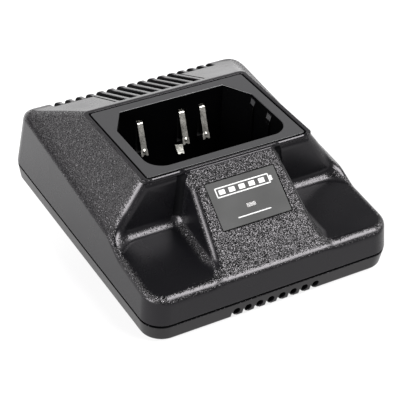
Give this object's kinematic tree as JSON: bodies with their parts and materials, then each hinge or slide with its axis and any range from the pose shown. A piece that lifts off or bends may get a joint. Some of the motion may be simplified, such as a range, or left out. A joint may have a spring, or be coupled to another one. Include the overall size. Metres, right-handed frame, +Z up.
{
  "type": "two-way radio charger",
  "caption": "Desktop charging cradle: a low case with a sloping label ramp between two scoops, a deep pocket with sprung contacts for a hand-held radio, and a slotted rear shelf.",
  "frame": {"origin": "on the surface it stands on, under the middle of the case", "axes": "+X to the right seen from the front, +Y to the back, +Z up"},
  "size_m": [0.112, 0.1329, 0.048],
  "materials": {
    "housing_black": "moulded, fine grain outside and satin in the scoops",
    "cover_black": "moulded, fine grain",
    "insert_grey": "moulded, smooth satin",
    "label_grey": "smooth, slightly glossy",
    "window_clear": "clear light pipe",
    "led_red": "tinted, glossy",
    "contact_nickel": "nickel plated",
    "inner_black": "plain",
    "wire_red": "insulated wire",
    "connector_white": "plain",
    "board_green": "solder resist",
    "heatsink_alu": "extruded",
    "chip_black": "moulded epoxy",
    "screw_steel": "zinc plated",
    "capacitor_sleeve": "shrunk sleeve",
    "core_ferrite": "lacquered ferrite",
    "winding_copper": "enamelled copper",
    "resistor_ceramic": "ceramic",
    "resistor_tan": "lacquered",
    "fuse_glass": "clear tube",
    "foot_rubber": "matt"
  },
  "bodies": {
    "root": {"upper_housing": "housing_black", "bottom_cover": "cover_black", "pocket_insert": "insert_grey", "label_plate": "label_grey", "indicator_window": "window_clear", "indicator_led": "led_red", "contact_terminals": "contact_nickel", "contact_carrier": "inner_black", "contact_wires": "wire_red", "wire_plug": "connector_white", "wire_socket": "connector_white", "main_board": "board_green", "dc_inlet_body": "inner_black", "dc_inlet_pin": "contact_nickel", "heat_sink": "heatsink_alu", "power_transistor": "chip_black", "transistor_screw": "screw_steel", "filter_capacitor": "capacitor_sleeve", "output_capacitor": "capacitor_sleeve", "choke_core": "core_ferrite", "choke_winding": "winding_copper", "control_chip": "chip_black", "power_resistor": "resistor_ceramic", "small_resistors": "resistor_tan", "rectifier_diodes": "chip_black", "fuse_tube": "fuse_glass", "fuse_clips": "contact_nickel", "rubber_feet": "foot_rubber", "case_screws": "screw_steel", "board_screws": "screw_steel"},
    "contact_left": {"contact_left": "contact_nickel"},
    "contact_center": {"contact_center": "contact_nickel"},
    "contact_right": {"contact_right": "contact_nickel"},
    "contact_short": {"contact_short": "contact_nickel"}
  },
  "joints": [
    {"name": "contact_left_flex", "type": "hinge", "parent": "root", "child": "contact_left", "pos_m": [-0.015, 0.022, 0.0403], "axis": [1, 0, 0], "range_deg": [0, 16], "stiffness_Nm_per_rad": 0.02},
    {"name": "contact_center_flex", "type": "hinge", "parent": "root", "child": "contact_center", "pos_m": [0.005, 0.022, 0.0403], "axis": [1, 0, 0], "range_deg": [0, 16], "stiffness_Nm_per_rad": 0.02},
    {"name": "contact_right_flex", "type": "hinge", "parent": "root", "child": "contact_right", "pos_m": [0.015, 0.022, 0.0403], "axis": [1, 0, 0], "range_deg": [0, 16], "stiffness_Nm_per_rad": 0.02},
    {"name": "contact_short_flex", "type": "hinge", "parent": "root", "child": "contact_short", "pos_m": [0.0004, 0.0139, 0.0129], "axis": [1, 0, 0], "range_deg": [-10, 0], "stiffness_Nm_per_rad": 0.02}
  ]
}
